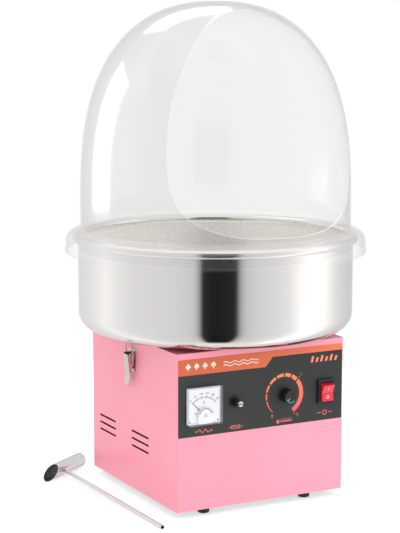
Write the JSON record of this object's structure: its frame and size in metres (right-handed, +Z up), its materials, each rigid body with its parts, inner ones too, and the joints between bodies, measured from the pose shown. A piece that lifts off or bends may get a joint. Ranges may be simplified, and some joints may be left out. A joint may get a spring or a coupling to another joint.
{
  "type": "cotton candy machine",
  "caption": "Floss machine with a square steel casing, control panel, spun bowl, spinning heated head, clear lift-off dome cover with an access opening, toggle latches and a sugar scoop.",
  "frame": {"origin": "centre of the base on the surface that the feet stand on", "axes": "+Z up along the bowl's and the head's axis, the control panel faces -Y, +X to the right of a person who faces the panel"},
  "size_m": [0.5746, 0.57, 0.924],
  "materials": {
    "pink_paint": "satin powder coat",
    "zinc_sheet": "zinc plated",
    "panel_dark": "satin print",
    "panel_orange": "satin print",
    "foot_rubber": "matte",
    "seal_rubber": "matte",
    "fastener_steel": "zinc plated",
    "meter_white": "satin",
    "meter_clear": "clear acrylic",
    "needle_black": "matte",
    "control_black": "semi gloss",
    "fuse_glass": "clear",
    "rocker_red": "translucent gloss",
    "bowl_steel": "polished and spun",
    "cover_clear": "clear polycarbonate",
    "head_aluminium": "machined",
    "shaft_steel": "ground",
    "housing_iron": "painted casting",
    "core_steel": "laminated",
    "insulator": "phenolic",
    "ring_brass": "turned",
    "carbon": "matte",
    "spring_steel": "drawn wire",
    "heater_sheath": "heat tinted",
    "fan_plastic": "matte",
    "latch_steel": "bright plated",
    "board_green": "solder mask",
    "wire_pvc": "satin",
    "scoop_steel": "polished"
  },
  "bodies": {
    "root": {"casing_wrap": "pink_paint", "rear_panel": "pink_paint", "top_plate": "pink_paint", "bottom_plate": "zinc_sheet", "control_label": "panel_dark", "header_band": "panel_orange", "feet": "foot_rubber", "casing_screws": "fastener_steel", "voltmeter_case": "meter_white", "voltmeter_cover": "meter_clear", "voltmeter_dial": "meter_white", "voltmeter_hub": "meter_white", "fuse_holder": "control_black", "potentiometer": "control_black", "panel_nuts": "fastener_steel", "switch_frame": "control_black", "bowl": "bowl_steel", "bowl_seal": "seal_rubber", "motor_housing": "housing_iron", "motor_stator": "core_steel", "motor_bracket": "zinc_sheet", "hanger_posts": "shaft_steel", "rubber_mounts": "foot_rubber", "bearing_housing": "housing_iron", "shaft_bearings": "shaft_steel", "brush_holder": "insulator", "carbon_brushes": "carbon", "brush_springs": "spring_steel", "latch_bases": "latch_steel", "latch_pins_and_rivets": "fastener_steel", "bowl_catches": "latch_steel", "control_board": "board_green", "heatsink": "head_aluminium", "terminal_block": "insulator", "cable_gland": "ring_brass", "wiring_harness": "wire_pvc"},
    "cover": {"dome_cover": "cover_clear"},
    "spinner": {"head_base": "head_aluminium", "head_band": "head_aluminium", "head_cap": "head_aluminium", "head_studs": "fastener_steel", "heater_ring": "heater_sheath", "drive_shaft": "shaft_steel", "shaft_coupling": "shaft_steel", "slip_ring_hub": "insulator", "slip_rings": "ring_brass", "motor_armature": "core_steel", "cooling_fan": "fan_plastic"},
    "knob": {"temp_knob": "control_black", "knob_shaft": "shaft_steel"},
    "rocker": {"switch_rocker": "rocker_red"},
    "needle": {"voltmeter_needle": "needle_black"},
    "fuse_carrier": {"fuse_cap": "control_black", "fuse_tube": "fuse_glass"},
    "lever_left": {"latch_lever_left": "latch_steel"},
    "bail_left": {"latch_bail_left": "latch_steel"},
    "lever_right": {"latch_lever_right": "latch_steel"},
    "bail_right": {"latch_bail_right": "latch_steel"},
    "scoop": {"scoop_cup": "scoop_steel", "scoop_handle": "scoop_steel"}
  },
  "joints": [
    {"name": "cover_lift", "type": "slide", "parent": "root", "child": "cover", "axis": [0, 0, 1], "range_m": [0, 0.25]},
    {"name": "spinner_spin", "type": "hinge", "parent": "root", "child": "spinner", "pos_m": [0, 0, 0.38], "axis": [0, 0, 1], "continuous": true},
    {"name": "temp_knob_turn", "type": "hinge", "parent": "root", "child": "knob", "pos_m": [0.0475, -0.19, 0.2085], "axis": [0, 1, 0], "range_deg": [0, 280]},
    {"name": "power_rocker_tip", "type": "hinge", "parent": "root", "child": "rocker", "pos_m": [0.1345, -0.1785, 0.207], "axis": [-1, 0, 0], "range_deg": [0, 18]},
    {"name": "meter_needle_swing", "type": "hinge", "parent": "root", "child": "needle", "pos_m": [-0.122, -0.1855, 0.1905], "axis": [0, 1, 0], "range_deg": [0, 90], "stiffness_Nm_per_rad": 0.0001},
    {"name": "fuse_carrier_pull", "type": "slide", "parent": "root", "child": "fuse_carrier", "axis": [0, -1, 0], "range_m": [0, 0.04]},
    {"name": "latch_lever_left_turn", "type": "hinge", "parent": "root", "child": "lever_left", "pos_m": [-0.184, 0, 0.27], "axis": [0, 1, 0], "range_deg": [0, 110]},
    {"name": "latch_bail_left_turn", "type": "hinge", "parent": "lever_left", "child": "bail_left", "pos_m": [-0.181, 0, 0.257], "axis": [0, 1, 0], "range_deg": [-148, 0]},
    {"name": "latch_lever_right_turn", "type": "hinge", "parent": "root", "child": "lever_right", "pos_m": [0.184, 0, 0.27], "axis": [0, -1, 0], "range_deg": [0, 110]},
    {"name": "latch_bail_right_turn", "type": "hinge", "parent": "lever_right", "child": "bail_right", "pos_m": [0.181, 0, 0.257], "axis": [0, -1, 0], "range_deg": [-148, 0]},
    {"name": "scoop_lift", "type": "slide", "parent": "root", "child": "scoop", "axis": [0, 0, 1], "range_m": [0, 0.15]}
  ],
  "couplings": [
    {"joint": "latch_bail_left_turn", "follows": "latch_lever_left_turn", "ratio": -1.343},
    {"joint": "latch_bail_right_turn", "follows": "latch_lever_right_turn", "ratio": -1.343}
  ]
}
